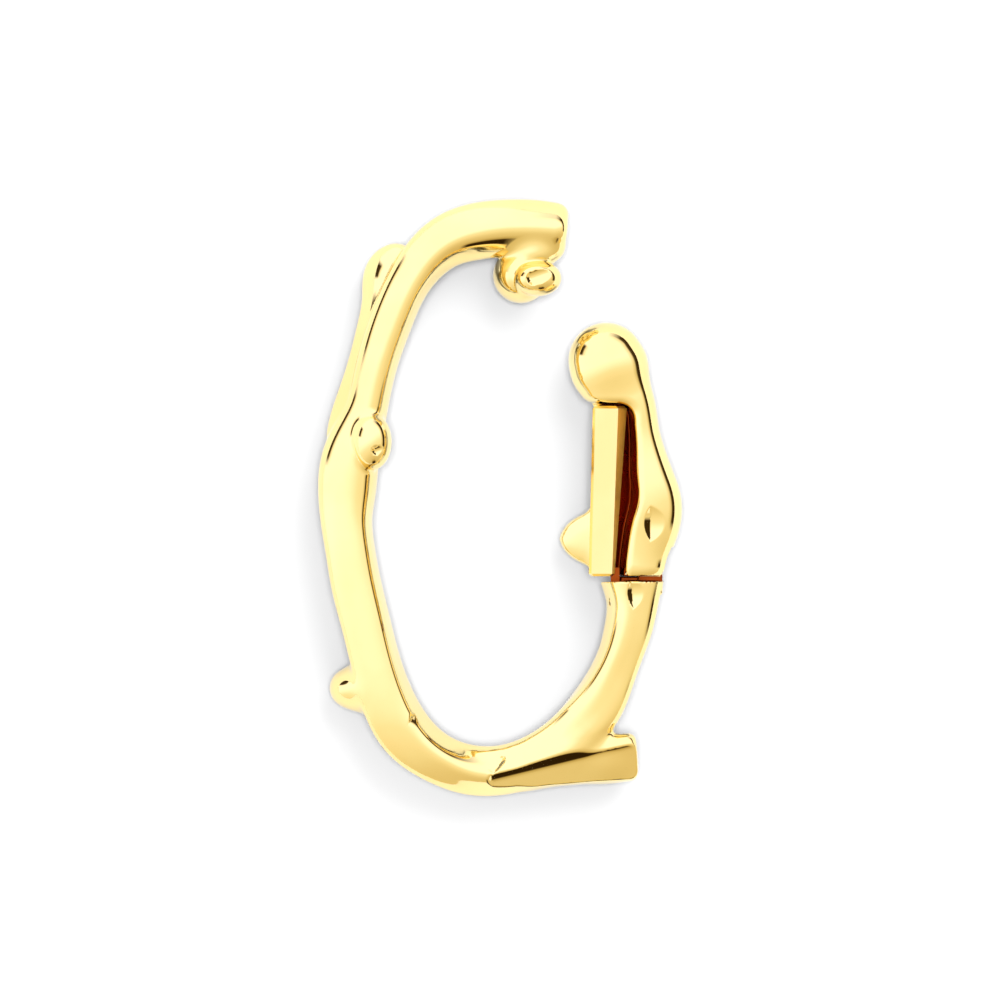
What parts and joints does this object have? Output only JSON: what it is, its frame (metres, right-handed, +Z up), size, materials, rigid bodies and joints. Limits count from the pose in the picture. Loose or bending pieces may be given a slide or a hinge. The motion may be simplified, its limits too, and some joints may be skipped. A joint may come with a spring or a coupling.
{
  "type": "ear cuff",
  "caption": "Open oval ear cuff cast as a knobbly twig in polished gold colour, with a straight bar inside a hinged clip arm.",
  "frame": {"origin": "under the middle of the cuff, on the surface that it lies on", "axes": "the cuff lies on its back: +Y runs along the loop towards the upper branch, +X towards the clip arm, +Z up out of its front"},
  "size_m": [0.0254, 0.042, 0.0065],
  "materials": {
    "cast_gold": "gold plated, polished",
    "bar_gold": "gold plated, polished",
    "pin_gold": "gold plated, plain"
  },
  "bodies": {
    "frame": {"loop_frame": "cast_gold", "clip_bar": "bar_gold", "hinge_pin": "pin_gold"},
    "clip": {"clip_arm": "cast_gold"}
  },
  "joints": [
    {"name": "clip_hinge", "type": "hinge", "parent": "frame", "child": "clip", "pos_m": [0.01051, -0.00435, 0.00354], "axis": [0, 0, -1], "range_deg": [0, 35]}
  ]
}
